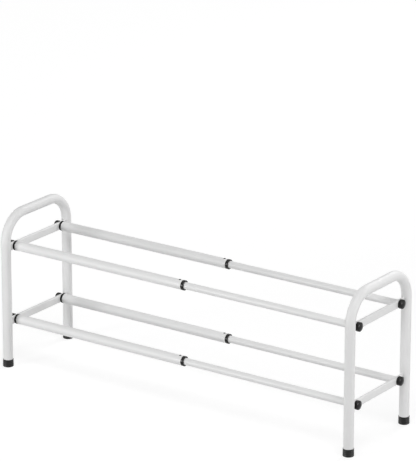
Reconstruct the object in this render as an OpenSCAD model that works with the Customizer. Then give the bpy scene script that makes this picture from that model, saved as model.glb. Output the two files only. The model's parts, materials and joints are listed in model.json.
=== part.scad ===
// Expandable two-tier shoe rack: two bent end frames joined by four telescoping rails.
// X runs along the rails, Y from front to back, Z up from the floor. The origin is on the
// floor, under the middle of the fully extended rack. All sizes are in millimetres.

/* [End frames] */
// Height of the end frames above the floor
frame_h = 371; // [340:1:420]
// Distance between the axes of the front and back legs
leg_spacing = 226; // [200:1:280]
// Outside diameter of the leg tube
leg_d = 23; // [19:0.5:25]
// Wall of the leg tube
leg_wall = 1.2; // [0.8:0.1:2]
// Radius of the top bends, measured on the tube's axis
bend_r = 63; // [45:1:75]

/* [Foot caps] */
// Height of a foot cap
cap_h = 18; // [12:0.5:22]
// Thickness of the cap under the leg
cap_floor = 3; // [2:0.5:5]
// Wall of the cap at its upper rim
cap_wall = 0.8; // [0.8:0.1:2]
// How much the cap's radius grows towards the floor
cap_flare = 0.3; // [0:0.1:1]
// Rounding of the cap's lower edge
cap_edge_r = 1.8; // [0.5:0.1:2.5]
// Number of ribs round the cap
cap_ribs = 2; // [1:1:4]

/* [Crossbars] */
// Height of a crossbar's flat oval section
bar_h = 19; // [16:0.5:22]
// Thickness of a crossbar's flat oval section
bar_t = 8; // [6:0.5:10]
// Wall of the crossbar tube
bar_wall = 1; // [0.8:0.1:1.5]
// Offset of the crossbars from the leg axes towards the middle of the rack
bar_offset = 3; // [0:0.5:3.5]
// Height of the lower rails' axes
lower_z = 109; // [80:1:130]
// Distance from the lower rails to the upper rails
tier_gap = 178.5; // [150:0.5:190]

/* [Rails] */
// Distance from a leg's axis to the next rail's axis
rail_inset = 27; // [24:0.5:40]
// Outside diameter of the outer tubes
outer_d = 22.5; // [21:0.5:25]
// Wall of the outer tubes
outer_wall = 1; // [0.8:0.1:1.2]
// Length of the outer tubes
outer_len = 464; // [300:1:600]
// Outside diameter of the inner tubes
inner_d = 16.5; // [15:0.5:17.5]
// Wall of the inner tubes
inner_wall = 1; // [0.8:0.1:1.2]
// Length of the inner tubes
inner_len = 462; // [300:1:600]

/* [Collars] */
// Thickness of a collar's ring at the mouth of an outer tube
collar_ring_t = 6.5; // [3:0.5:8]
// Length of a collar's sleeve inside the outer tube
collar_sleeve = 15; // [13:0.5:25]
// Radial running clearance of the sliding pieces
slide_gap = 0.1; // [0.05:0.01:0.1]
// How far the rings stand proud of the outer tube's surface
ring_proud = 0.25; // [0:0.05:1]
// Diameter of the snap stud that locks a collar in its tube
stud_d = 5; // [4:0.5:6]
// Distance from the tube's mouth to the snap stud
stud_inset = 8; // [7:0.5:11]
// How far the snap stud stands above the outer tube
stud_proud = 1; // [0.2:0.1:1.5]

/* [Plugs and glides] */
// Thickness of the ring between an outer tube and its crossbar
plug_ring_t = 5.5; // [3:0.5:6]
// Length of a plug's barrel inside the outer tube
plug_len = 16.5; // [16:0.5:22]
// Length of the insert in the fixed end of an inner tube
insert_len = 20; // [16:0.5:30]
// Thickness of a glide's head at the free end of an inner tube
glide_head_t = 3.5; // [3:0.5:6]
// Length of a glide's barrel inside the inner tube
glide_len = 14; // [8:0.5:20]
// Gap between a glide and its collar when the rack is fully extended
stop_gap = 0.3; // [0.2:0.1:2]
// Radial gap of the pressed plastic pieces
press_gap = 0.05; // [0.02:0.01:0.1]

/* [Knobs and screws] */
// Diameter of a knob
knob_d = 21; // [16:0.5:22]
// Thickness of a knob's rim
knob_rim_t = 7.5; // [4:0.5:8]
// Height of a knob's dome above its rim
knob_dome = 3; // [1:0.1:3.5]
// Chamfer between a knob's rim and its dome
knob_edge = 1.2; // [0.5:0.1:1.5]
// Diameter of the screws
screw_d = 6; // [5:0.5:6]
// Length of a screw under its head
screw_len = 20; // [18:0.5:24]
// Diameter of a screw's head
head_d = 10; // [9:0.5:12]
// Thickness of a screw's head
head_t = 2.4; // [1.6:0.1:2.4]
// Outside diameter of the threaded inserts
nut_d = 9; // [8.5:0.1:10]
// Length of the threaded inserts
nut_len = 10; // [6:0.5:12]
// Radial clearance of a screw in its holes
screw_gap = 0.25; // [0.1:0.05:0.5]

/* [Hidden] */
$fn = 64;
LEFT = -1;
RIGHT = 1;
FRONT = -1;
BACK = 1;
LOWER = 0;
UPPER = 1;

leg_y = leg_spacing / 2;
rail_y = leg_y - rail_inset;
bend_y = leg_y - bend_r;
bend_z = frame_h - leg_d / 2 - bend_r;

// How far a crossbar's inner and outer faces lie inwards of the leg axes
bar_inner = bar_offset + bar_t / 2;
bar_outer = bar_offset - bar_t / 2;

// The rails set the distance between the legs: outer tube, sleeve, stop and inner tube in a row
rail_run = plug_ring_t + outer_len - collar_sleeve - stop_gap + inner_len;
leg_x = rail_run / 2 + bar_inner;

plug_ring_x = -leg_x + bar_inner;
outer_x = plug_ring_x + plug_ring_t;
mouth_x = outer_x + outer_len;
inner_end_x = leg_x - bar_inner;
inner_x = inner_end_x - inner_len;

outer_bore_d = outer_d - 2 * outer_wall;
inner_bore_d = inner_d - 2 * inner_wall;
ring_d = outer_d + 2 * ring_proud;

// Radial gap of the snap stud in its hole, and of a screw's head in its knob
stud_gap = 0.3;
head_gap = 0.1;
// Room past a screw's tip
tip_room = 2;
// Chamfers of the collars and of the plugs' rings
collar_chamfer = 0.8;
ring_edge = 0.6;
// Radius and depth of the grooves between a foot cap's ribs
groove_r = 0.9;
groove_depth = 0.4;
// How far a cutting shape runs past the face that it cuts
over = 1;

stud_hole_d = stud_d + 2 * stud_gap;
screw_hole_d = screw_d + 2 * screw_gap;
screw_bore_len = screw_len - bar_t + tip_room;

function rail_z(tier) = lower_z + tier * tier_gap;

// Lays a shape that stands along Z along X, on one rail's axis from x
module on_rail(tier, row, x) {
    translate([x, row * rail_y, rail_z(tier)])
        rotate([0, 90, 0])
            children();
}

// Repeats a left-hand shape on the chosen side
module on_side(side) {
    if (side == RIGHT)
        mirror([1, 0, 0]) children();
    else
        children();
}

// A rod of one diameter along the frame: up one leg, over the top and down the other
module frame_path(d, foot_z) {
    for (row = [FRONT, BACK]) {
        translate([0, row * leg_y, foot_z])
            cylinder(d = d, h = bend_z - foot_z);
        translate([0, row * bend_y, bend_z])
            rotate([90, 0, row * 90])
                rotate_extrude(angle = 90)
                    translate([bend_r, 0])
                        circle(d = d);
    }
    translate([0, bend_y, bend_z + bend_r])
        rotate([90, 0, 0])
            cylinder(d = d, h = 2 * bend_y);
}

// One end frame's tube: two legs and the top bar, bent from one length
module frame_tube(side) {
    color("whitesmoke")
        on_side(side)
            translate([-leg_x, 0, 0])
                difference() {
                    frame_path(leg_d, cap_floor);
                    frame_path(leg_d - 2 * leg_wall, cap_floor);
                }
}

// A flat oval section, round at its top and bottom
module oval(h, t) {
    square([t, h - t], center = true);
    for (end = [-1, 1])
        translate([0, end * (h - t) / 2])
            circle(d = t);
}

// A flat oval tube from leg to leg, its ends cut to the legs' round and drilled for two screws
module crossbar(side, tier) {
    color("gainsboro")
        on_side(side)
            difference() {
                translate([-leg_x + bar_offset, leg_y, rail_z(tier)])
                    rotate([90, 0, 0])
                        linear_extrude(height = leg_spacing)
                            difference() {
                                oval(bar_h, bar_t);
                                oval(bar_h - 2 * bar_wall, bar_t - 2 * bar_wall);
                            }
                for (row = [FRONT, BACK]) {
                    translate([-leg_x, row * leg_y, rail_z(tier) - bar_h])
                        cylinder(d = leg_d, h = 2 * bar_h);
                    on_rail(tier, row, -leg_x + bar_outer - over)
                        cylinder(d = screw_hole_d, h = bar_t + 2 * over);
                }
            }
}

// Half of a foot cap's section, with grooves between its ribs
module cap_profile() {
    top_r = leg_d / 2 + press_gap + cap_wall;
    low_r = top_r + cap_flare;
    rib_pitch = (cap_h - 2 * cap_edge_r) / (cap_ribs + 1);
    difference() {
        union() {
            polygon([[0, 0], [low_r - cap_edge_r, 0], [low_r, cap_edge_r], [top_r, cap_h], [0, cap_h]]);
            translate([low_r - cap_edge_r, cap_edge_r])
                intersection() {
                    circle(r = cap_edge_r);
                    translate([0, -cap_edge_r])
                        square(2 * cap_edge_r);
                }
        }
        translate([0, cap_floor])
            square([leg_d / 2 + press_gap, cap_h]);
        for (i = [0 : cap_ribs]) {
            z = cap_edge_r + (i + 0.5) * rib_pitch;
            surface_r = low_r - cap_flare * (z - cap_edge_r) / (cap_h - cap_edge_r);
            translate([surface_r + groove_r - groove_depth, z])
                circle(r = groove_r);
        }
    }
}

// A rubber cap pushed over the foot of a leg
module foot_cap(side, row) {
    color("dimgray")
        on_side(side)
            translate([-leg_x, row * leg_y, 0])
                rotate_extrude()
                    cap_profile();
}

// The wide tube of a rail, with a hole on top for the collar's snap stud
module outer_tube(tier, row) {
    color("whitesmoke")
        difference() {
            on_rail(tier, row, outer_x)
                difference() {
                    cylinder(d = outer_d, h = outer_len);
                    translate([0, 0, -over])
                        cylinder(d = outer_bore_d, h = outer_len + 2 * over);
                }
            translate([mouth_x - stud_inset, row * rail_y, rail_z(tier)])
                cylinder(d = stud_hole_d, h = outer_d);
        }
}

// The narrow tube of a rail, which slides in the wide one
module inner_tube(tier, row) {
    color("whitesmoke")
        on_rail(tier, row, inner_x)
            difference() {
                cylinder(d = inner_d, h = inner_len);
                translate([0, 0, -over])
                    cylinder(d = inner_bore_d, h = inner_len + 2 * over);
            }
}

// A guide bush in the mouth of an outer tube: sleeve, ring and snap stud
module collar(tier, row) {
    color("#2b2b2b")
        difference() {
            union() {
                on_rail(tier, row, mouth_x - collar_sleeve)
                    cylinder(d = outer_bore_d - 2 * press_gap, h = collar_sleeve);
                on_rail(tier, row, mouth_x)
                    cylinder(d = ring_d, h = collar_ring_t - collar_chamfer);
                on_rail(tier, row, mouth_x + collar_ring_t - collar_chamfer)
                    cylinder(d1 = ring_d, d2 = ring_d - 2 * collar_chamfer, h = collar_chamfer);
                translate([mouth_x - stud_inset, row * rail_y, rail_z(tier)])
                    cylinder(d = stud_d, h = outer_d / 2 + stud_proud);
            }
            on_rail(tier, row, mouth_x - collar_sleeve - over)
                cylinder(d = inner_d + 2 * slide_gap, h = collar_sleeve + collar_ring_t + 2 * over);
        }
}

// The seat of a threaded insert, with the screw's bore behind it
module screw_socket() {
    translate([0, 0, -over]) {
        cylinder(d = nut_d, h = nut_len + over);
        cylinder(d = screw_hole_d, h = screw_bore_len + over);
    }
}

// A plug in the fixed end of an outer tube, with a ring that keeps the tube off the crossbar
module end_plug(tier, row) {
    color("#2b2b2b")
        on_rail(tier, row, plug_ring_x)
            difference() {
                union() {
                    cylinder(d1 = ring_d - 2 * ring_edge, d2 = ring_d, h = ring_edge);
                    translate([0, 0, ring_edge])
                        cylinder(d = ring_d, h = plug_ring_t - ring_edge);
                    translate([0, 0, plug_ring_t])
                        cylinder(d = outer_bore_d - 2 * press_gap, h = plug_len);
                }
                screw_socket();
            }
}

// An insert in the fixed end of an inner tube, flush with the tube
module tube_insert(tier, row) {
    color("#2b2b2b")
        on_rail(tier, row, inner_end_x)
            mirror([0, 0, 1])
                difference() {
                    cylinder(d = inner_bore_d - 2 * press_gap, h = insert_len);
                    screw_socket();
                }
}

// A plug in the free end of an inner tube, whose head slides in the outer tube
module tail_glide(tier, row) {
    color("#2b2b2b")
        on_rail(tier, row, inner_x - glide_head_t) {
            cylinder(d = outer_bore_d - 2 * slide_gap, h = glide_head_t);
            translate([0, 0, glide_head_t])
                cylinder(d = inner_bore_d - 2 * press_gap, h = glide_len);
        }
}

// A deep screw cap with a domed face, seated on a crossbar's outer side
module knob(side, tier, row) {
    dome_d = knob_d - 2 * knob_edge;
    dome_r = (pow(dome_d / 2, 2) + pow(knob_dome, 2)) / (2 * knob_dome);
    color("#2b2b2b")
        on_side(side)
            on_rail(tier, row, -leg_x + bar_outer)
                mirror([0, 0, 1])
                    difference() {
                        union() {
                            cylinder(d = knob_d, h = knob_rim_t - knob_edge);
                            translate([0, 0, knob_rim_t - knob_edge])
                                cylinder(d1 = knob_d, d2 = dome_d, h = knob_edge);
                            intersection() {
                                translate([0, 0, knob_rim_t + knob_dome - dome_r])
                                    sphere(r = dome_r, $fn = 96);
                                translate([0, 0, knob_rim_t - knob_edge])
                                    cylinder(d = dome_d, h = knob_edge + 2 * knob_dome);
                            }
                        }
                        translate([0, 0, -over])
                            cylinder(d = head_d + 2 * head_gap, h = head_t + over);
                    }
}

// A screw that runs along +Z from under its head
module screw() {
    mirror([0, 0, 1])
        cylinder(d = head_d, h = head_t);
    cylinder(d = screw_d, h = screw_len);
}

// The four screws of one end frame, each through a crossbar into a rail's end
module screws(side) {
    color("silver")
        on_side(side)
            for (tier = [LOWER, UPPER])
                for (row = [FRONT, BACK])
                    on_rail(tier, row, -leg_x + bar_outer)
                        screw();
}

// The four threaded inserts that the screws of one end frame bite into
module threaded_inserts(side) {
    color("goldenrod")
        on_side(side)
            for (tier = [LOWER, UPPER])
                for (row = [FRONT, BACK])
                    on_rail(tier, row, -leg_x + bar_inner)
                        difference() {
                            cylinder(d = nut_d - 2 * press_gap, h = nut_len);
                            translate([0, 0, -over])
                                cylinder(d = screw_d + 2 * press_gap, h = nut_len + 2 * over);
                        }
}

frame_tube(LEFT);  // left_frame_tube
frame_tube(RIGHT);  // right_frame_tube
crossbar(LEFT, LOWER);  // left_lower_crossbar
crossbar(LEFT, UPPER);  // left_upper_crossbar
crossbar(RIGHT, LOWER);  // right_lower_crossbar
crossbar(RIGHT, UPPER);  // right_upper_crossbar
foot_cap(LEFT, FRONT);  // foot_cap_left_front
foot_cap(LEFT, BACK);  // foot_cap_left_back
foot_cap(RIGHT, FRONT);  // foot_cap_right_front
foot_cap(RIGHT, BACK);  // foot_cap_right_back
outer_tube(LOWER, FRONT);  // outer_tube_lower_front
outer_tube(LOWER, BACK);  // outer_tube_lower_back
outer_tube(UPPER, FRONT);  // outer_tube_upper_front
outer_tube(UPPER, BACK);  // outer_tube_upper_back
inner_tube(LOWER, FRONT);  // inner_tube_lower_front
inner_tube(LOWER, BACK);  // inner_tube_lower_back
inner_tube(UPPER, FRONT);  // inner_tube_upper_front
inner_tube(UPPER, BACK);  // inner_tube_upper_back
collar(LOWER, FRONT);  // collar_lower_front
collar(LOWER, BACK);  // collar_lower_back
collar(UPPER, FRONT);  // collar_upper_front
collar(UPPER, BACK);  // collar_upper_back
end_plug(LOWER, FRONT);  // end_plug_lower_front
end_plug(LOWER, BACK);  // end_plug_lower_back
end_plug(UPPER, FRONT);  // end_plug_upper_front
end_plug(UPPER, BACK);  // end_plug_upper_back
tube_insert(LOWER, FRONT);  // tube_insert_lower_front
tube_insert(LOWER, BACK);  // tube_insert_lower_back
tube_insert(UPPER, FRONT);  // tube_insert_upper_front
tube_insert(UPPER, BACK);  // tube_insert_upper_back
tail_glide(LOWER, FRONT);  // tail_glide_lower_front
tail_glide(LOWER, BACK);  // tail_glide_lower_back
tail_glide(UPPER, FRONT);  // tail_glide_upper_front
tail_glide(UPPER, BACK);  // tail_glide_upper_back
knob(LEFT, LOWER, FRONT);  // knob_left_lower_front
knob(LEFT, LOWER, BACK);  // knob_left_lower_back
knob(LEFT, UPPER, FRONT);  // knob_left_upper_front
knob(LEFT, UPPER, BACK);  // knob_left_upper_back
knob(RIGHT, LOWER, FRONT);  // knob_right_lower_front
knob(RIGHT, LOWER, BACK);  // knob_right_lower_back
knob(RIGHT, UPPER, FRONT);  // knob_right_upper_front
knob(RIGHT, UPPER, BACK);  // knob_right_upper_back
screws(LEFT);  // left_screws
screws(RIGHT);  // right_screws
threaded_inserts(LEFT);  // left_threaded_inserts
threaded_inserts(RIGHT);  // right_threaded_inserts
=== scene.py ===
import json
import math

import bmesh
import bpy
import numpy as np
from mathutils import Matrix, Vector


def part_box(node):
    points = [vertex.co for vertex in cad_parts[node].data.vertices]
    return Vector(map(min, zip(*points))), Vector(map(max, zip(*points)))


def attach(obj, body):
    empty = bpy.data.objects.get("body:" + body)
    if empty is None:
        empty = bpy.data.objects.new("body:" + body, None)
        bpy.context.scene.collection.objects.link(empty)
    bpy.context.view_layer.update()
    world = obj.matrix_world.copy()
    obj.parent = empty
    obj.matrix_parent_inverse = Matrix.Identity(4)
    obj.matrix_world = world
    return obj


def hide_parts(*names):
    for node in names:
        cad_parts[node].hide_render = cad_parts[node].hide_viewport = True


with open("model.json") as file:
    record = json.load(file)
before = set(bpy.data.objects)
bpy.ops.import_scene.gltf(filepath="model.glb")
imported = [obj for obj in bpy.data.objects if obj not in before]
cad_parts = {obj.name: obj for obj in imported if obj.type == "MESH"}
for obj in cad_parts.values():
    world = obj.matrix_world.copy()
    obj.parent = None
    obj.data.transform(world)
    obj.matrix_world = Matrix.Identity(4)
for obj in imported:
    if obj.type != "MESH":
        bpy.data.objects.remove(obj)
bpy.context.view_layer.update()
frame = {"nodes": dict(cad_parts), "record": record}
scene = bpy.context.scene
scene.view_settings.view_transform = "Standard"
bodyOf = {node: body for body, nodes in frame["record"]["behaviour"]["bodies"].items() for node in nodes}
sides, tiers, rails = ("left", "right"), ("lower", "upper"), ("front", "back")
print("frame loaded with", len(frame["nodes"]), "nodes")


# The view and the studio

photoView = {
    "azimuth": 35.11,  # degrees, 0 is straight in front
    "elevation": 18.63,
    "distance": 6.904,
    "target": (0.018, 0, 0.3916),  # the point in the middle of the picture
    "lens": 243.98,
}

softBoxes = {  # places as seen from the rack, width and height of the lamp, radiance where 1 is white
    "leftStrip": {"azimuth": -30, "elevation": 11, "distance": 3.6, "size": (1.1, 1.3), "radiance": 12.2},
    "rightStrip": {"azimuth": 95, "elevation": 11, "distance": 4, "size": (2, 1.4), "radiance": 5.6},
    "topBox": {"azimuth": 45, "elevation": 62, "distance": 3.8, "size": (2.2, 1.8), "radiance": 4.7},
    "backBox": {"azimuth": 175, "elevation": 40, "distance": 4, "size": (1.6, 1.6), "radiance": 5.6},
}

studio = {
    "ambient": 0.15,  # world light that reaches matt surfaces
    "floorSize": 60,
    "floorTone": 0.72,  # as the rack's underside sees it
    "seenTone": 0.35,  # as the camera and the gloss see it, with a glow that fills it up to white
    "spareGlow": 0.006,  # a little more, for what the formula leaves
    "brightest": (1.4, 1, 0),  # where the lamps light the floor most
    "light": 0.92,  # how bright a floor of tone 1 would be there
    "halfway": 3.75,  # how far off it has halved
}


def towards(azimuth, elevation):
    # Unit vector from the rack towards something at that azimuth and elevation
    turn, rise = math.radians(azimuth), math.radians(elevation)
    return Vector((math.sin(turn) * math.cos(rise), -math.cos(turn) * math.cos(rise), math.sin(rise)))


def aim(thing, place, direction):
    thing.location = place
    thing.rotation_euler = direction.to_track_quat("-Z", "Y").to_euler()
    scene.collection.objects.link(thing)


def makeCamera(view):
    back = towards(view["azimuth"], view["elevation"])
    camera = bpy.data.objects.new("photoCamera", bpy.data.cameras.new("photoCamera"))
    camera.data.lens = view["lens"]
    aim(camera, Vector(view["target"]) + back * view["distance"], -back)
    scene.camera = camera


def makeSoftBox(name, box):
    # A flat lamp: its power is radiance times area times pi
    lamp = bpy.data.objects.new(name, bpy.data.lights.new(name, "AREA"))
    lamp.data.shape = "RECTANGLE"
    lamp.data.size, lamp.data.size_y = box["size"]
    lamp.data.energy = math.pi * math.prod(box["size"]) * box["radiance"]
    lamp.visible_camera = False
    direction = towards(box["azimuth"], box["elevation"])
    aim(lamp, direction * box["distance"], -direction)


makeCamera(photoView)
for name, box in softBoxes.items():
    makeSoftBox(name, box)
print("camera and lamps placed")


# Node work

class Wire:
    # A socket that takes part in sums: each operator adds one Math node

    def __init__(self, board, socket):
        self.board = board
        self.socket = socket

    def math(self, operation, *values):
        return self.board.node("ShaderNodeMath", {"operation": operation}, dict(enumerate(values)))

    def __add__(self, other):
        return self.math("ADD", self, other)

    def __radd__(self, other):
        return self.math("ADD", other, self)

    def __sub__(self, other):
        return self.math("SUBTRACT", self, other)

    def __rsub__(self, other):
        return self.math("SUBTRACT", other, self)

    def __mul__(self, other):
        return self.math("MULTIPLY", self, other)

    def __rmul__(self, other):
        return self.math("MULTIPLY", other, self)

    def __truediv__(self, other):
        return self.math("DIVIDE", self, other)

    def __rtruediv__(self, other):
        return self.math("DIVIDE", other, self)

    def orMore(self, other):
        return self.math("MAXIMUM", self, other)


class Board:
    # One node tree, emptied

    def __init__(self, tree):
        self.tree = tree
        tree.nodes.clear()

    def node(self, kind, settings={}, sockets={}, output=0):
        # Adds a node: first its settings, then its sockets' values or links. Gives back one output.
        made = self.tree.nodes.new(kind)
        for key, value in settings.items():
            setattr(made, key, value)
        for key, value in sockets.items():
            if isinstance(value, Wire):
                self.tree.links.new(value.socket, made.inputs[key])
            else:
                made.inputs[key].default_value = value
        return Wire(self, made.outputs[output]) if made.outputs else None

    def noise(self, place, scale, detail=2):
        # Values round 0.5
        return self.node("ShaderNodeTexNoise", {}, {"Vector": place, "Scale": scale, "Detail": detail})

    def stretched(self, place, scale):
        return self.node("ShaderNodeMapping", {}, {"Vector": place, "Scale": scale})

    def blend(self, share, first, second):
        # Sockets 6 and 7 and output 2 are the Mix node's colours
        return self.node("ShaderNodeMix", {"data_type": "RGBA"}, {0: share, 6: first, 7: second}, 2)

    def bump(self, height, depth):
        return self.node("ShaderNodeBump", {}, {"Height": height, "Distance": depth})

    def seenDirectly(self):
        # 1 for the camera, for reflections and through glass, 0 for soft light
        rays = ["Is Camera Ray", "Is Glossy Ray", "Is Transmission Ray"]
        camera, glossy, through = [self.node("ShaderNodeLightPath", output=ray) for ray in rays]
        return camera.orMore(glossy).orMore(through)


def gray(tone):
    return (tone, tone, tone, 1)


def makeWorld():
    world = bpy.data.worlds.new("studioWorld")
    world.use_nodes = True
    scene.world = world
    board = Board(world.node_tree)
    strength = studio["ambient"] + (1 - studio["ambient"]) * board.seenDirectly()
    light = board.node("ShaderNodeBackground", {}, {"Color": gray(1), "Strength": strength})
    board.node("ShaderNodeOutputWorld", {}, {"Surface": light})


def makeFloor():
    # A pale floor: plain for soft light, white where it is seen, apart from the shadows. Its glow is
    # what white lacks over the lamps' light: 1 - tone * light / (1 + (distance / halfway) squared)
    half = studio["floorSize"] / 2
    corners = [(-half, -half, 0), (half, -half, 0), (half, half, 0), (-half, half, 0)]
    mesh = bpy.data.meshes.new("floor")
    mesh.from_pydata(corners, [], [(0, 1, 2, 3)])
    floor = bpy.data.objects.new("floor", mesh)
    scene.collection.objects.link(floor)
    material = bpy.data.materials.new("floorPaper")
    material.use_nodes = True
    board = Board(material.node_tree)
    plain = board.node("ShaderNodeBsdfDiffuse", {}, {"Color": gray(studio["floorTone"])})
    seen = board.node("ShaderNodeBsdfDiffuse", {}, {"Color": gray(studio["seenTone"])})
    ends = {0: board.node("ShaderNodeTexCoord", output="Object"), 1: studio["brightest"]}
    distance = board.node("ShaderNodeVectorMath", {"operation": "DISTANCE"}, ends, "Value")
    away = distance / studio["halfway"]
    strength = 1 + studio["spareGlow"] - studio["seenTone"] * studio["light"] / (1 + away * away)
    glow = board.node("ShaderNodeEmission", {}, {"Color": gray(1), "Strength": strength})
    pale = board.node("ShaderNodeAddShader", {}, {0: seen, 1: glow})
    surface = board.node("ShaderNodeMixShader", {}, {0: board.seenDirectly(), 1: plain, 2: pale})
    board.node("ShaderNodeOutputMaterial", {}, {"Surface": surface})
    mesh.materials.append(material)


makeWorld()
makeFloor()
print("studio made")


# Finishes

powderCoat = {
    "tone": 0.81,
    "shadeTone": 0.795,  # where the coat lies a little thinner
    "driftScale": 9,
    "roughness": 0.44,
    "roughnessSpread": 0.08,
    "peelScale": 850,  # orange peel, a bit over a millimetre across
    "peelDepth": 0.00003,
    "gloss": 0.4,
}

slideCoat = dict(powderCoat, roughness=0.4, marks=(4, 420, 420), marksDepth=0.000008)

blackPlastic = {
    "tone": 0.003,
    "paleTone": 0.006,
    "driftScale": 60,
    "roughness": 0.22,
    "roughnessSpread": 0.12,
    "driftShare": 0.6,  # how much of that spread follows the drift, and not the grain
    "grainScale": 2600,
    "grainDepth": 0.00001,
    "gloss": 0.26,
}

capRubber = dict(blackPlastic, roughness=0.32, grainScale=1700, grainDepth=0.00002, gloss=0.3)

dullPlastic = dict(blackPlastic, tone=0.002, paleTone=0.004, roughness=0.5, gloss=0.15)

zincSteel = {
    "color": gray(0.62),
    "paleColor": gray(0.72),
    "crystalScale": 160,
    "roughness": 0.28,
    "roughnessSpread": 0.2,
    "scratchScale": 1500,
    "scratchStretch": (1, 0.1, 0.1),
    "scratchDepth": 0.000006,
}

turnedBrass = dict(zincSteel, color=(0.72, 0.47, 0.16, 1), paleColor=(0.83, 0.6, 0.26, 1))


def startFinish(name):
    material = bpy.data.materials.new(name)
    material.use_nodes = True
    board = Board(material.node_tree)
    return material, board, board.node("ShaderNodeTexCoord", output="Object")


def endFinish(board, sockets):
    shader = board.node("ShaderNodeBsdfPrincipled", {}, sockets)
    board.node("ShaderNodeOutputMaterial", {}, {"Surface": shader})


def makePowderCoat(name, coat):
    # Powder coat: orange peel in the height, a slow drift in tone, gloss that follows the peel.
    # A sliding tube adds faint lengthwise marks.
    material, board, place = startFinish(name)
    drift = board.noise(place, coat["driftScale"])
    peel = board.noise(place, coat["peelScale"])
    relief = board.bump(peel, coat["peelDepth"])
    roughness = coat["roughness"] + coat["roughnessSpread"] * (peel - 0.5)
    if "marks" in coat:
        marks = board.noise(board.stretched(place, coat["marks"]), 1, detail=4)
        relief = board.node(
            "ShaderNodeBump", {}, {"Height": marks, "Distance": coat["marksDepth"], "Normal": relief})
        roughness = roughness + coat["roughnessSpread"] * (marks - 0.5)
    endFinish(board, {
        "Base Color": board.blend(drift, gray(coat["tone"]), gray(coat["shadeTone"])),
        "Roughness": roughness,
        "Specular IOR Level": coat["gloss"],
        "Normal": relief,
    })
    return material


def makeMoulding(name, stuff):
    # Moulded plastic or rubber: a fine grain, and a tone and gloss that vary from patch to patch
    material, board, place = startFinish(name)
    drift = board.noise(place, stuff["driftScale"])
    grain = board.noise(place, stuff["grainScale"])
    spread = drift * stuff["driftShare"] + grain * (1 - stuff["driftShare"])
    endFinish(board, {
        "Base Color": board.blend(drift, gray(stuff["tone"]), gray(stuff["paleTone"])),
        "Roughness": stuff["roughness"] + stuff["roughnessSpread"] * (spread - 0.5),
        "Specular IOR Level": stuff["gloss"],
        "Normal": board.bump(grain, stuff["grainDepth"]),
    })
    return material


def makeMetal(name, metal):
    # Plated or turned metal: small crystals in the tone, fine scratches in the height
    material, board, place = startFinish(name)
    crystals = board.noise(place, metal["crystalScale"], detail=4)
    streaks = board.stretched(place, metal["scratchStretch"])
    scratches = board.noise(streaks, metal["scratchScale"], detail=3)
    endFinish(board, {
        "Base Color": board.blend(crystals, metal["color"], metal["paleColor"]),
        "Roughness": metal["roughness"] + metal["roughnessSpread"] * (crystals - 0.5),
        "Metallic": 1,
        "Normal": board.bump(scratches, metal["scratchDepth"]),
    })
    return material


finishes = {
    "coat": makePowderCoat("powderCoat", powderCoat),
    "slideCoat": makePowderCoat("slideCoat", slideCoat),
    "plastic": makeMoulding("blackPlastic", blackPlastic),
    "dull": makeMoulding("dullPlastic", dullPlastic),
    "rubber": makeMoulding("capRubber", capRubber),
    "zinc": makeMetal("zincSteel", zincSteel),
    "brass": makeMetal("turnedBrass", turnedBrass),
}
print("finishes made")


# Surfaces

def skin(grid, closeRows, closeColumns):
    # Quads between each point of a grid and its next neighbours. A closed side runs on to its start.
    rows, columns = grid.shape[:2]
    row, column = np.meshgrid(
        np.arange(rows if closeRows else rows - 1),
        np.arange(columns if closeColumns else columns - 1), indexing="ij")
    nextRow, nextColumn = (row + 1) % rows, (column + 1) % columns
    corners = [(row, column), (row, nextColumn), (nextRow, nextColumn), (nextRow, column)]
    return np.stack([a * columns + b for a, b in corners], -1).reshape(-1, 4)


def makePiece(name, grids, sharpAngle=40, mergeDistance=1e-6):
    # One mesh from several grids, each with whether its rows and its columns close. Edges sharper
    # than sharpAngle stay crisp.
    points, faces, count = [], [], 0
    for grid, closeRows, closeColumns in grids:
        points.append(grid.reshape(-1, 3))
        faces.append(skin(grid, closeRows, closeColumns) + count)
        count += len(points[-1])
    mesh = bpy.data.meshes.new(name)
    mesh.from_pydata(np.concatenate(points), [], np.concatenate(faces).tolist())
    tool = bmesh.new()
    tool.from_mesh(mesh)
    bmesh.ops.remove_doubles(tool, verts=tool.verts, dist=mergeDistance)
    bmesh.ops.recalc_face_normals(tool, faces=tool.faces)
    tool.to_mesh(mesh)
    tool.free()
    mesh.polygons.foreach_set("use_smooth", [True] * len(mesh.polygons))
    mesh.set_sharp_from_angle(angle=math.radians(sharpAngle))
    piece = bpy.data.objects.new(name, mesh)
    scene.collection.objects.link(piece)
    return piece


def unit(vectors, leastLength=1e-12):
    # Each vector divided by its length
    return vectors / np.maximum(np.linalg.norm(vectors, axis=-1, keepdims=True), leastLength)


def roundedOutline(corners, steps=6, leastSine=1e-9):
    # Corners are (radius, reach, rounding). Each becomes an arc that touches the two edges next to it:
    # its centre lies rounding / sin(half the corner's angle) away along the bisector, and its points
    # (sin((1 - share) * swing) * first + sin(share * swing) * last) / sin(swing) away from there.
    corners = np.array(corners, float)
    place, rounding = corners[:, :2], corners[:, 2:]
    toLast = unit(np.roll(place, 1, 0) - place)
    toNext = unit(np.roll(place, -1, 0) - place)
    half = np.arccos(np.clip((toLast * toNext).sum(1, keepdims=True), -1, 1)) / 2
    centre = place + unit(toLast + toNext) * rounding / np.sin(half)
    first = place + toLast * rounding / np.tan(half) - centre
    last = place + toNext * rounding / np.tan(half) - centre
    share = np.linspace(0, 1, steps + 1)[None, :, None]
    swing = (np.pi - 2 * half)[..., None]
    spoke = np.sin((1 - share) * swing) * first[:, None] + np.sin(share * swing) * last[:, None]
    return (centre[:, None] + spoke / np.maximum(np.sin(swing), leastSine)).reshape(-1, 2)


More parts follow.
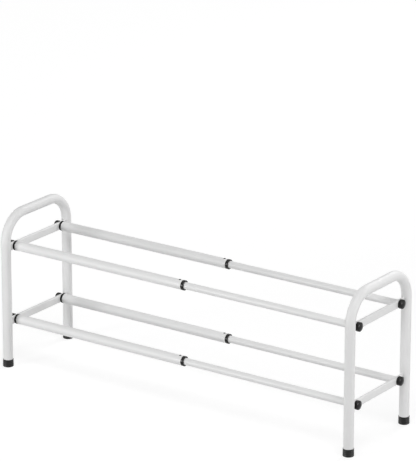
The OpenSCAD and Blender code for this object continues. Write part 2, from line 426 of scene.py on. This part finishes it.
def turned(radius, reach, origin, axis, turns=64):
    # Points round an axis: origin + reach * axis + radius * (cos * side + sin * (axis x side))
    axis = np.array(axis, float)
    side = np.array((0, 1, 0) if axis[0] else (1, 0, 0), float)
    angle = np.linspace(0, 2 * np.pi, turns, endpoint=False)[:, None]
    spokes = np.cos(angle) * side + np.sin(angle) * np.cross(axis, side)
    radius, reach = np.broadcast_arrays(radius, reach)
    return np.array(origin) + reach[..., None] * axis + radius[..., None] * spokes


def lathed(outline, origin, axis, turns=64):
    # An outline of (radius, reach) turned round an axis
    return turned(outline[:, :1], outline[:, 1:], origin, axis, turns)


def holeWall(slits):
    # The wall of a hole between two skins. Each skin gives the two sides of the seam that opens there.
    return np.stack([np.concatenate([one[:-1], other[:0:-1]]) for one, other in slits])


def spanOf(node):
    # Lowest and highest corner of a CAD node's box, and its middle
    low, high = (np.array(corner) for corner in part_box(node))
    return low, high, (low + high) / 2


def roundSize(node):
    # Radius and length of a round part that lies along X
    low, high, _ = spanOf(node)
    return (high[1] - low[1]) / 2, high[0] - low[0]


def makeEach(start, make):
    # One piece for each CAD node whose name begins with start
    for node in sorted(frame["nodes"]):
        if node.startswith(start):
            make(node)


def pieceName(node):
    first, *others = node.split("_")
    return first + "".join(word.title() for word in others)


def dress(piece, node, finish):
    # A finish in a new material slot, and the body of a CAD node
    piece.data.materials.append(finishes[finish])
    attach(piece, bodyOf[node])


def standIn(node, finish, grids, sharpAngle=40):
    # The piece that takes a CAD node's place
    piece = makePiece(pieceName(node), grids, sharpAngle)
    dress(piece, node, finish)
    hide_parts(node)


# End frames

frameTube = {
    "wall": 0.0012,
    "bendRadius": 0.063,
    "flatten": 0.025,  # how much the bends go oval
    "turns": 56,
    "legSteps": 14,
    "bendSteps": 32,
    "barSteps": 8,
}


def makeFrameTube(node):
    # A ring carried along the bent path. The legs and the bar move the centre that the ring turns round,
    # the bends move its angle, and there the ring is drawn in by sin(2 * angle) squared.
    tube = frameTube
    low, high, middle = spanOf(node)
    radius = (high[0] - low[0]) / 2
    bend = tube["bendRadius"]
    bendY = high[1] - radius - bend
    bendZ = high[2] - radius - bend
    leg, arc, bar = (np.linspace(0, 1, tube[steps]) for steps in ("legSteps", "bendSteps", "barSteps"))
    legZ = low[2] + (bendZ - low[2]) * leg
    arcZ = bendZ + 0 * arc
    centreY = bendY * np.concatenate([0 * leg - 1, 0 * arc - 1, 2 * bar - 1, 0 * arc + 1, 0 * leg + 1])
    centreZ = np.concatenate([legZ, arcZ, bendZ + 0 * bar, arcZ, legZ[::-1]])
    angle = np.pi * np.concatenate([0 * leg + 1, 1 - arc / 2, 0 * bar + 0.5, 0.5 - arc / 2, 0 * leg])
    outward = np.stack([0 * angle, np.cos(angle), np.sin(angle)], -1)
    centre = np.stack([middle[0] + 0 * angle, centreY, centreZ], -1) + bend * outward
    oval = 1 - tube["flatten"] * np.sin(2 * angle) ** 2
    turn = np.linspace(0, 2 * np.pi, tube["turns"], endpoint=False)
    across = np.cos(turn)[None, :, None] * np.array((1, 0, 0))
    along = (oval[:, None] * np.sin(turn))[..., None] * outward[:, None]
    outside = centre[:, None] + radius * (across + along)
    inside = centre[:, None] + (radius - tube["wall"]) * (across + along)
    standIn(node, "coat", [(np.concatenate([outside, inside[::-1]]), True, True)])


for side in sides:
    makeFrameTube(side + "_frame_tube")
print("frame tubes made")


# Crossbars

crossbar = {
    "wall": 0.001,
    "sunk": 0.0001,  # how deep an end sits in the leg
    "holeRadius": 0.00325,
    "holeSteps": 16,
    "midSteps": 6,
    "sectionSteps": 36,
}

railY = spanOf("outer_tube_lower_back")[2][1]  # the front rails run at the same distance


def ovalPoint(run, height, thickness):
    # Upper half of a flat oval, by the length run along it from the middle of one flat to the other's
    flat = (height - thickness) / 2
    bow = thickness / 2
    turn = np.clip((run - flat) / bow, 0, np.pi)
    drop = np.maximum(flat - run, 0) + np.maximum(run - flat - np.pi * bow, 0)
    return bow * np.cos(turn), flat + bow * np.sin(turn) - drop


def ovalRun(height, thickness):
    # Length of that half: two half flats and a half circle
    return height - thickness + np.pi * thickness / 2


def copedEnd(x, side):
    # Half the length of a crossbar at x, cut to the round of the leg: leg axis less the leg's half chord
    low, high, middle = spanOf(side + "_frame_tube")
    radius = (high[0] - low[0]) / 2
    return high[1] - radius - np.sqrt(radius ** 2 - (x - middle[0]) ** 2)


def makeCrossbar(node):
    # Two half sections from flat to flat. Their seams open by the half chord of each screw hole.
    bar = crossbar
    side = node.split("_")[0]
    low, high, middle = spanOf(node)
    height, thickness = high[2] - low[2], high[0] - low[0]
    hole = railY - bar["holeRadius"] * np.cos(np.linspace(0, np.pi, bar["holeSteps"] + 1))
    between = (railY - 2 * bar["holeRadius"]) * np.linspace(-1, 1, bar["midSteps"])
    stations = np.concatenate([-hole[::-1], between, hole])
    chord = np.sqrt(np.maximum(bar["holeRadius"] ** 2 - (abs(stations) - railY) ** 2, 0))
    chord = np.concatenate([[0], chord, [0]])[:, None]
    share = np.linspace(0, 1, bar["sectionSteps"] + 1)

    def half(inset, upDown):
        run = ovalRun(height - 2 * inset, thickness - 2 * inset)
        x, z = ovalPoint(chord + share * (run - 2 * chord), height - 2 * inset, thickness - 2 * inset)
        x = middle[0] + x
        end = copedEnd(x[:1], side) + bar["sunk"]
        y = np.concatenate([-end, stations[:, None] + 0 * x[1:-1], end])
        return np.stack([x, y, middle[2] + upDown * z], -1)

    insets = (0, bar["wall"])
    walls = {(inset, upDown): half(inset, upDown) for inset in insets for upDown in (1, -1)}
    grids = []
    for upDown in (1, -1):
        outside, inside = (walls[inset, upDown] for inset in insets)
        grids.append((np.concatenate([outside, inside[::-1]]), True, False))
    holeRows = bar["holeSteps"] + 1
    for rows in (slice(1, 1 + holeRows), slice(-1 - holeRows, -1)):
        for column in (0, -1):
            slits = [[walls[inset, upDown][rows, column] for upDown in (1, -1)] for inset in insets]
            grids.append((holeWall(slits), False, True))
    standIn(node, "coat", grids)


weldBead = {
    "radius": 0.0012,
    "ripple": 0.1,
    "ripples": 30,
    "turns": 12,
    "steps": 120,  # on each half of the section
}


def makeWeldBeads(side):
    # A small ring carried along the line where each crossbar meets its leg. Its radius swells and
    # shrinks once for each drop of weld: radius * (1 + ripple * cos(share))
    bead = weldBead
    legLow, legHigh, leg = spanOf(side + "_frame_tube")
    legY = legHigh[1] - (legHigh[0] - legLow[0]) / 2
    turn = np.linspace(0, 2 * np.pi, bead["turns"], endpoint=False)[:, None]
    grids = []
    for tier in tiers:
        low, high, middle = spanOf("_".join((side, tier, "crossbar")))
        height, thickness = high[2] - low[2], high[0] - low[0]
        run = ovalRun(height, thickness) * np.linspace(0, 1, bead["steps"], endpoint=False)
        x, z = ovalPoint(run, height, thickness)
        x, z = np.concatenate([x, -x]), np.concatenate([z, -z])
        share = np.linspace(0, 2 * np.pi * bead["ripples"], len(x), endpoint=False)
        swell = bead["radius"] * (1 + bead["ripple"] * np.cos(share))[:, None, None]
        for row in (-1, 1):
            y = row * copedEnd(middle[0] + x, side)
            line = np.stack([middle[0] + x, y, middle[2] + z], -1)
            forward = unit(np.roll(line, -1, 0) - np.roll(line, 1, 0))
            offLeg = unit(np.stack([line[:, 0] - leg[0], y - row * legY, 0 * z], -1))
            sideways = np.cross(forward, offLeg)
            ring = np.cos(turn) * offLeg[:, None] + np.sin(turn) * sideways[:, None]
            grids.append((line[:, None] + swell * ring, True, True))
    dress(makePiece(side + "WeldBeads", grids), side + "_frame_tube", "coat")


for side in sides:
    for tier in tiers:
        makeCrossbar("_".join((side, tier, "crossbar")))
    makeWeldBeads(side)
print("crossbars and welds made")


# Foot caps

footCap = {
    "boreRadius": 0.01155,
    "floor": 0.003,
    "topRadius": 0.01235,
    "edge": 0.0018,
    "rim": 0.0004,
    "grooves": 3,
    "grooveDepth": 0.0006,
    "grooveWidth": 0.0026,
    "grooveRounding": 0.00025,
    "soleRadius": 0.0075,  # the hollow under the cap
    "soleDepth": 0.0008,
    "soleRounding": 0.0002,
    "soleRing": 0.0045,  # where a ring stands in the hollow
    "ringLift": 0.25,  # how high up the ring ends, as a share of the hollow's depth
    "ringRounding": 0.0003,
    "cornerSteps": 5,
}


def makeFootCap(node):
    # Half a section turned round the leg's axis: sole, flared side with its grooves, lip and bore
    cap = footCap
    low, high, middle = spanOf(node)
    lowRadius, height = (high[0] - low[0]) / 2, high[2] - low[2]
    pitch = (height - 2 * cap["edge"]) / cap["grooves"]
    grooveZ = cap["edge"] + (np.arange(cap["grooves"]) + 0.5) * pitch
    flare = (lowRadius - cap["topRadius"]) / (height - cap["edge"])
    half = cap["grooveWidth"] / 2

    def onSide(z, depth, rounding):
        return (lowRadius - flare * max(z - cap["edge"], 0) - depth, z, rounding)

    sole = [
        (0, cap["soleDepth"], 0),
        (cap["soleRing"] - half, cap["soleDepth"], 0),
        (cap["soleRing"], cap["soleDepth"] * cap["ringLift"], cap["ringRounding"]),
        (cap["soleRing"] + half, cap["soleDepth"], 0),
        (cap["soleRadius"], cap["soleDepth"], cap["soleRounding"]),
        (cap["soleRadius"] + cap["soleDepth"] / 2, 0, cap["soleRounding"]),
        (lowRadius, 0, cap["edge"]),
    ]
    grooves = [
        onSide(z + step * half, (step == 0) * cap["grooveDepth"], cap["grooveRounding"])
        for z in grooveZ for step in (-1, 0, 1)]
    lip = [
        (cap["topRadius"], height, cap["rim"]),
        (cap["boreRadius"], height, cap["rim"] / 2),
        (cap["boreRadius"], cap["floor"], 0),
        (0, cap["floor"], 0),
    ]
    outline = roundedOutline(sole + grooves + lip, cap["cornerSteps"])
    grid = lathed(outline, (middle[0], middle[1], 0), (0, 0, 1))
    standIn(node, "rubber", [(grid, False, True)])


makeEach("foot_cap", makeFootCap)
print("foot caps made")


# Rail tubes

innerTube = {"wall": 0.001, "rim": 0.0003, "rimSteps": 4, "turns": 64}
outerTube = dict(innerTube, turns=72, holeRadius=0.0028, holeSteps=16)

stud = {
    "inset": 0.008,  # from the tube's mouth
    "radius": 0.0025,
    "dome": 0.0008,
    "domeSteps": 7,
    "turns": 32,
}


def tubeOutline(radius, start, end, tube):
    # The wall of a straight tube in section, with its four edges broken
    inner = radius - tube["wall"]
    corners = [(radius, start), (radius, end), (inner, end), (inner, start)]
    return roundedOutline([(*corner, tube["rim"]) for corner in corners], tube["rimSteps"])


def makeOuterTube(node):
    # The wall's section turned round the rail. Its seam runs along the top and opens by the half chord
    # of the stud's hole there, while the rest of each ring closes up evenly.
    tube = outerTube
    low, high, middle = spanOf(node)
    radius = (high[2] - low[2]) / 2
    studX = high[0] - stud["inset"]
    hole = studX - tube["holeRadius"] * np.cos(np.linspace(0, np.pi, tube["holeSteps"] + 1))
    outline = tubeOutline(radius, low[0], high[0], tube)
    outerRun = np.stack([radius + 0 * hole, hole], -1)
    innerRun = np.stack([radius - tube["wall"] + 0 * hole, hole[::-1]], -1)
    arcs = outline.reshape(4, -1, 2)
    outline = np.concatenate([arcs[0], outerRun, arcs[1], arcs[2], innerRun, arcs[3]])
    ringRadius, x = outline[:, :1], outline[:, 1:]
    chord = np.sqrt(np.maximum(tube["holeRadius"] ** 2 - (x - studX) ** 2, 0))
    lift = np.arcsin(chord / ringRadius)
    angle = lift + np.linspace(0, 1, tube["turns"] + 1) * (2 * np.pi - 2 * lift)
    grid = np.stack([
        x + 0 * angle, middle[1] + ringRadius * np.sin(angle), middle[2] + ringRadius * np.cos(angle)], -1)
    first = tube["rimSteps"] + 1
    holeRows = len(hole)
    outerRows = grid[first:first + holeRows]
    innerRows = grid[-first - holeRows:-first][::-1]
    slits = [(rows[:, 0], rows[:, -1]) for rows in (outerRows, innerRows)]
    standIn(node, "coat", [(grid, True, False), (holeWall(slits), False, True)])


def makeInnerTube(node):
    # The wall's section turned round the rail, all the way
    low, high, middle = spanOf(node)
    outline = tubeOutline((high[2] - low[2]) / 2, low[0], high[0], innerTube)
    grid = lathed(outline, (0, middle[1], middle[2]), (1, 0, 0), innerTube["turns"])
    standIn(node, "slideCoat", [(grid, True, True)])


makeEach("outer_tube", makeOuterTube)
makeEach("inner_tube", makeInnerTube)
print("rail tubes made")


# Collars, plugs and glides

collar = {
    "sleeve": 0.015,
    "boreRadius": 0.00835,
    "sleeveGap": 0.00005,
    "outerEdge": 0.0011,
    "mouthEdge": 0.0008,
    "edge": 0.0004,
    "turns": 72,
}

endPlug = {"ring": 0.0055, "barrelRadius": 0.0102, "edge": 0.0006, "tip": 0.0012}
tailGlide = {"head": 0.0035, "barrelRadius": 0.0072, "edge": 0.0006, "tip": 0.0015}

tubeInsert = {
    "plainTo": 0.1,  # both are shares of its length
    "ribbedFrom": 0.2,
    "edge": 0.0003,
    "tip": 0.0012,
}

insertSocket = {
    "radius": 0.0045,
    "depth": 0.01,
    "edge": 0.0002,
    "screwRadius": 0.00325,  # the bore behind the socket
    "screwDepth": 0.014,
}

crushRibs = {  # lengthwise ribs that grip the tube
    "count": 8,
    "depth": 0.05,
    "sharpness": 6,
    "clear": 1.1,  # they start this far past a ring or head, as a share of it
    "least": 0.8,  # and lie outside this share of the barrel's radius
    "turns": 72,
}


def makeCollar(node):
    # Sleeve and ring in one section turned round the rail, and a stud with its dome turned round Z.
    # The stud stands above the ring, so the rail's middle comes from the tube.
    low, high, _ = spanOf(node)
    radius, _ = roundSize(node)
    mouth = low[0] + collar["sleeve"]
    tube = node.replace("collar", "outer_tube")
    rail = spanOf(tube)[2]
    sleeveRadius = roundSize(tube)[0] - outerTube["wall"] - collar["sleeveGap"]
    bore, edge = collar["boreRadius"], collar["edge"]
    outline = roundedOutline([
        (bore, low[0], edge),
        (sleeveRadius, low[0], edge),
        (sleeveRadius, mouth, 0),
        (radius, mouth, edge),
        (radius, high[0], collar["outerEdge"]),
        (bore, high[0], collar["mouthEdge"]),
    ])
    body = lathed(outline, (0, rail[1], rail[2]), (1, 0, 0), collar["turns"])
    studTop = high[2] - rail[2]
    studBase = (sleeveRadius + bore) / 2
    rise = np.linspace(0, np.pi / 2, stud["domeSteps"])
    dome = np.stack([stud["radius"] * np.cos(rise), studTop - stud["dome"] * (1 - np.sin(rise))], -1)
    studOutline = np.concatenate([[(0, studBase), (stud["radius"], studBase)], dome])
    button = lathed(studOutline, (mouth - stud["inset"], rail[1], rail[2]), (0, 0, 1), stud["turns"])
    standIn(node, "plastic", [(body, True, True), (button, False, True)])


def ribbed(outline, barrel):
    # Rings of an outline, drawn in between the lengthwise ribs on the barrel:
    # radius * (1 - depth * (1 - |cos(count * angle / 2)| ^ sharpness))
    angle = np.linspace(0, 2 * np.pi, crushRibs["turns"], endpoint=False)
    valley = 1 - abs(np.cos(crushRibs["count"] * angle / 2)) ** crushRibs["sharpness"]
    return outline[:, :1] * (1 - crushRibs["depth"] * barrel[:, None] * valley)


def makePlug(node, outline, ribStart, barrelRadius, towardsX):
    # A plug turned round its rail. Reach runs along X from its low end, or back from its high end,
    # and the ribs begin at ribStart.
    low, high, middle = spanOf(node)
    barrel = (outline[:, 1] > ribStart) & (outline[:, 0] > barrelRadius * crushRibs["least"])
    origin = (low[0] if towardsX > 0 else high[0], middle[1], middle[2])
    grid = turned(ribbed(outline, barrel), outline[:, 1:], origin, (towardsX, 0, 0), crushRibs["turns"])
    standIn(node, "dull", [(grid, False, True)])


def socketOutline():
    # The seat of a threaded insert and the screw's bore behind it, from the axis out to the face
    socket = insertSocket
    return [
        (0, socket["screwDepth"], 0),
        (socket["screwRadius"], socket["screwDepth"], 0),
        (socket["screwRadius"], socket["depth"], 0),
        (socket["radius"], socket["depth"], 0),
        (socket["radius"], 0, socket["edge"]),
    ]


def makeEndPlug(node):
    # Socket, broad ring and a barrel that fills the wide tube
    radius, length = roundSize(node)
    ring, barrelRadius, edge = endPlug["ring"], endPlug["barrelRadius"], endPlug["edge"]
    outline = roundedOutline(socketOutline() + [
        (radius, 0, edge),
        (radius, ring, edge / 2),
        (barrelRadius, ring, 0),
        (barrelRadius, length, endPlug["tip"]),
        (0, length, 0),
    ])
    makePlug(node, outline, ring * crushRibs["clear"], barrelRadius, 1)


def makeTubeInsert(node):
    # Socket and a straight barrel, which is round as far as plainTo and ribbed from ribbedFrom
    radius, length = roundSize(node)
    plainTo, ribbedFrom = length * tubeInsert["plainTo"], length * tubeInsert["ribbedFrom"]
    outline = roundedOutline(socketOutline() + [
        (radius, 0, tubeInsert["edge"]),
        (radius, plainTo, 0),
        (radius, ribbedFrom, 0),
        (radius, length, tubeInsert["tip"]),
        (0, length, 0),
    ])
    makePlug(node, outline, (plainTo + ribbedFrom) / 2, radius, -1)


def makeTailGlide(node):
    # Head that runs in the wide tube, and a barrel that fills the narrow one
    radius, length = roundSize(node)
    head, barrelRadius, edge = tailGlide["head"], tailGlide["barrelRadius"], tailGlide["edge"]
    outline = roundedOutline([
        (0, 0, 0),
        (radius, 0, edge),
        (radius, head, edge / 2),
        (barrelRadius, head, 0),
        (barrelRadius, length, tailGlide["tip"]),
        (0, length, 0),
    ])
    makePlug(node, outline, head * crushRibs["clear"], barrelRadius, 1)


makeEach("collar", makeCollar)
makeEach("end_plug", makeEndPlug)
makeEach("tube_insert", makeTubeInsert)
makeEach("tail_glide", makeTailGlide)
print("collars, plugs and glides made")


# Knobs, screws and threaded inserts

knob = {
    "side": 0.0066,  # straight part of the rim
    "edge": 0.0016,
    "foot": 0.0003,
    "headRadius": 0.0051,  # the recess that takes the screw's head
    "headDepth": 0.0024,
    "edgeSteps": 10,
    "domeSteps": 14,
}

screw = {
    "headRadius": 0.005,
    "head": 0.0024,
    "headRounding": 0.4,  # of the head's height
    "seatRounding": 0.0002,
    "headSteps": 6,
    "rimInset": 1.2,  # where the head's top begins, as a share of the socket's radius
    "socketRadius": 0.002,  # to the corners of the hexagon
    "socketDepth": 0.0014,
    "length": 0.02,
    "radius": 0.003,
    "threadDepth": 0.00045,
    "pitch": 0.001,
    "plain": 0.001,  # bare shank under the head
    "tip": 0.001,
    "tipTaper": 0.2,  # how much of the root's radius the tip loses
    "stepsPerPitch": 8,
    "turns": 36,
}

threadedInsert = {
    "length": 0.01,
    "radius": 0.00445,
    "boreRadius": 0.00305,
    "knurls": 20,
    "knurlDepth": 0.0003,
    "knurlLean": 900,  # radians of turn for each metre along
    "grooveDepth": 0.0005,
    "grooveWidth": 0.08,  # of the length, to each side
    "edge": 0.0004,
    "turns": 120,
    "steps": 60,
}


def knobPlace(node):
    # The point on a crossbar's outer face where a knob sits, and the direction outwards from it
    low, high, middle = spanOf(node)
    outwards = 1 if "_right_" in node else -1
    return np.array((low[0] if outwards > 0 else high[0], middle[1], middle[2])), outwards


def knobPlaces(side):
    return [knobPlace("_".join(("knob", side, tier, rail))) for tier in tiers for rail in rails]


def makeKnob(node):
    # Recess, side, rounded edge and dome. The dome's ball touches the edge's arc from outside it:
    # ball = (a * a + h * h - e * e) / (2 * (h - e)), with e the edge's radius, a the radius to its centre
    # and h that centre's depth under the dome's top.
    radius, height = roundSize(node)
    place, outwards = knobPlace(node)
    edge, foot = knob["edge"], knob["foot"]
    arcRadius, depth = radius - edge, height - knob["side"]
    ball = (arcRadius ** 2 + depth ** 2 - edge ** 2) / (2 * (depth - edge))
    meet = math.atan2(ball - depth, arcRadius)
    turn = np.linspace(0, meet, knob["edgeSteps"])
    rise = np.linspace(meet, math.pi / 2, knob["domeSteps"])[1:]
    outline = np.concatenate([
        [(0, knob["headDepth"]), (knob["headRadius"], knob["headDepth"]), (knob["headRadius"], 0)],
        [(radius - foot, 0), (radius, foot)],
        np.stack([arcRadius + edge * np.cos(turn), knob["side"] + edge * np.sin(turn)], -1),
        np.stack([ball * np.cos(rise), height - ball + ball * np.sin(rise)], -1),
    ])
    standIn(node, "plastic", [(lathed(outline, place, (outwards, 0, 0)), False, True)])


def screwGrid(place, outwards):
    # Head with a hexagon socket, then the thread: its radius swings with
    # cos(2 * pi * reach / pitch - turn), and both ends fade to the root
    turn = np.linspace(0, 2 * np.pi, screw["turns"], endpoint=False)
    sixth = np.pi / 3
    hexagon = screw["socketRadius"] * np.cos(sixth / 2) / np.cos(turn % sixth - sixth / 2)
    sink = screw["head"] - screw["socketDepth"]
    top = [(0 * turn, sink), (hexagon, sink), (hexagon, screw["head"])]
    cap = roundedOutline([
        (screw["socketRadius"], 0, 0),  # only closes the outline, and is dropped from it
        (screw["rimInset"] * screw["socketRadius"], screw["head"], 0),
        (screw["headRadius"], screw["head"], screw["headRounding"] * screw["head"]),
        (screw["headRadius"], 0, screw["seatRounding"]),
        (screw["radius"], 0, 0),
    ], screw["headSteps"])[screw["headSteps"] + 1:]
    steps = int(screw["stepsPerPitch"] * screw["length"] / screw["pitch"])
    reach = np.linspace(0, screw["length"], steps + 1)[:, None]
    wave = 0.5 + 0.5 * np.cos(2 * np.pi * reach / screw["pitch"] - turn)
    fade = np.clip((reach - screw["plain"]) / screw["pitch"], 0, 1)
    fade = fade * np.clip((screw["length"] - reach) / screw["tip"], 0, 1)
    plain = np.clip(1 - (reach - screw["plain"]) / screw["pitch"], 0, 1)
    taper = np.clip(1 - (screw["length"] - reach) / screw["tip"], 0, 1)
    root = screw["radius"] - screw["threadDepth"]
    shank = root + screw["threadDepth"] * (plain + fade * wave) - screw["tipTaper"] * root * taper
    head = [*top, *cap]
    radii = np.concatenate([[radius + 0 * turn for radius, _ in head], shank, 0 * turn[None]])
    reaches = [height for _, height in head] + list(-reach[:, 0]) + [-screw["length"]]
    return turned(radii, np.array(reaches)[:, None], place, (outwards, 0, 0), screw["turns"])


def makeScrews(side):
    grids = [(screwGrid(place, outwards), False, True) for place, outwards in knobPlaces(side)]
    standIn(side + "_screws", "zinc", grids, sharpAngle=30)


def insertGrid(place, inwards):
    # Knurled brass: two crossed waves cut diamonds, |sin(a + b)| * |sin(a - b)| with a round and b along,
    # and a groove parts them in the middle
    insert = threadedInsert
    angle = np.linspace(0, 2 * np.pi, insert["turns"], endpoint=False)
    length = insert["length"]
    reach = np.linspace(insert["edge"], length - insert["edge"], insert["steps"])[:, None]
    around, along = insert["knurls"] * angle / 2, insert["knurlLean"] * reach
    diamonds = abs(np.sin(around + along)) * abs(np.sin(around - along))
    groove = np.exp(-((reach / length - 0.5) / insert["grooveWidth"]) ** 4)
    cut = insert["knurlDepth"] * (1 - diamonds) * (1 - groove) + insert["grooveDepth"] * groove
    bore, face = insert["boreRadius"] + 0 * angle, insert["radius"] - insert["grooveDepth"] + 0 * angle
    radii = np.concatenate([[bore, face], insert["radius"] - cut, [face, bore]])
    reaches = [[0], [0], *reach, [length], [length]]
    return turned(radii, np.array(reaches), place, (inwards, 0, 0), insert["turns"])


def makeThreadedInserts(side):
    node = side + "_threaded_inserts"
    low, high, _ = spanOf(node)
    grids = []
    for place, outwards in knobPlaces(side):
        place[0] = high[0] if outwards > 0 else low[0]
        grids.append((insertGrid(place, -outwards), True, True))
    standIn(node, "brass", grids, sharpAngle=30)


makeEach("knob", makeKnob)
for side in sides:
    makeScrews(side)
    makeThreadedInserts(side)
print("knobs, screws and threaded inserts made")
